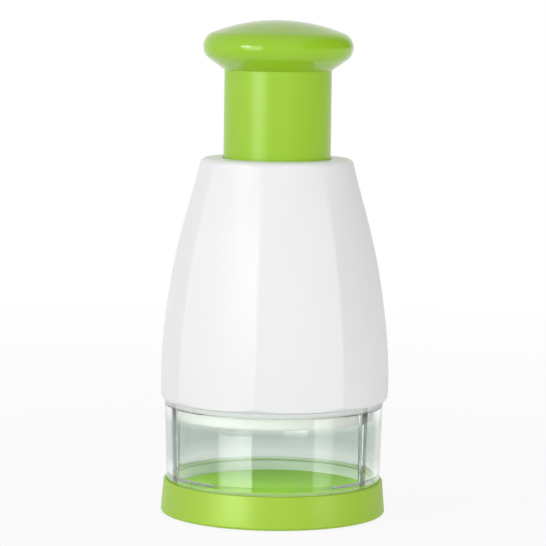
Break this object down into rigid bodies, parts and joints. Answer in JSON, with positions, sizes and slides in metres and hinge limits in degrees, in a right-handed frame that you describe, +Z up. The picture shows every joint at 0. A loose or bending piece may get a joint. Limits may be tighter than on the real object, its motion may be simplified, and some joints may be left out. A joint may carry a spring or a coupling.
{
  "type": "plunger food chopper",
  "caption": "Hand-pressed food chopper: mushroom knob and sprung plunger in a faceted shell drive turning folded blades into a clear cup that stands in a board base.",
  "frame": {"origin": "middle of the face it stands on, on the plunger's axis", "axes": "+Z up along the plunger, -Y towards the front that the picture shows, +X to the right"},
  "size_m": [0.1044, 0.1044, 0.2264],
  "materials": {
    "green_plastic": "glossy",
    "board_plastic": "satin",
    "white_plastic": "glossy",
    "cage_plastic": "satin",
    "bush_plastic": "satin",
    "clear_plastic": "clear",
    "foot_rubber": "matte",
    "bumper_rubber": "matte",
    "spring_steel": "drawn wire",
    "screw_steel": "zinc plated",
    "blade_steel": "polished stainless"
  },
  "bodies": {
    "base": {"base_cap": "green_plastic", "foot_ring": "foot_rubber", "chopping_board": "board_plastic"},
    "cup": {"clear_cup": "clear_plastic"},
    "shell": {"housing": "white_plastic", "guide_bush": "bush_plastic", "blade_cage": "cage_plastic", "cage_screws": "screw_steel", "stop_bumper": "bumper_rubber", "spring_washer": "screw_steel", "index_crown": "bush_plastic", "return_spring": "spring_steel"},
    "plunger": {"plunger_tube": "green_plastic", "knob": "green_plastic"},
    "blade_unit": {"spindle": "blade_steel", "spindle_washer": "screw_steel", "spindle_screw": "screw_steel", "index_ratchet": "bush_plastic", "ratchet_pin": "screw_steel", "blade_carrier": "cage_plastic", "carrier_screw": "screw_steel", "blade_1": "blade_steel", "blade_2": "blade_steel", "blade_3": "blade_steel", "guard_spring": "spring_steel"},
    "guard": {"guard_plate": "cage_plastic", "guard_posts": "screw_steel"}
  },
  "joints": [
    {"name": "cup_lift", "type": "slide", "parent": "base", "child": "cup", "axis": [0, 0, 1], "range_m": [0, 0.02]},
    {"name": "shell_twist", "type": "hinge", "parent": "cup", "child": "shell", "pos_m": [0, 0, 0.0582], "axis": [0, 0, 1], "range_deg": [0, 20]},
    {"name": "press", "type": "slide", "parent": "shell", "child": "plunger", "axis": [0, 0, -1], "range_m": [0, 0.036], "stiffness_N_per_m": 500, "springref_m": -0.01, "deforming": ["return_spring"]},
    {"name": "blade_index", "type": "hinge", "parent": "plunger", "child": "blade_unit", "pos_m": [0, 0, 0.1922], "axis": [0, 0, 1], "range_deg": [0, 30]},
    {"name": "guard_rise", "type": "slide", "parent": "blade_unit", "child": "guard", "axis": [0, 0, 1], "range_m": [0, 0.012], "deforming": ["guard_spring"]}
  ],
  "couplings": [
    {"joint": "blade_index", "follows": "press", "rad_per_m": 14.544},
    {"joint": "guard_rise", "follows": "press", "ratio": 0.3333}
  ]
}
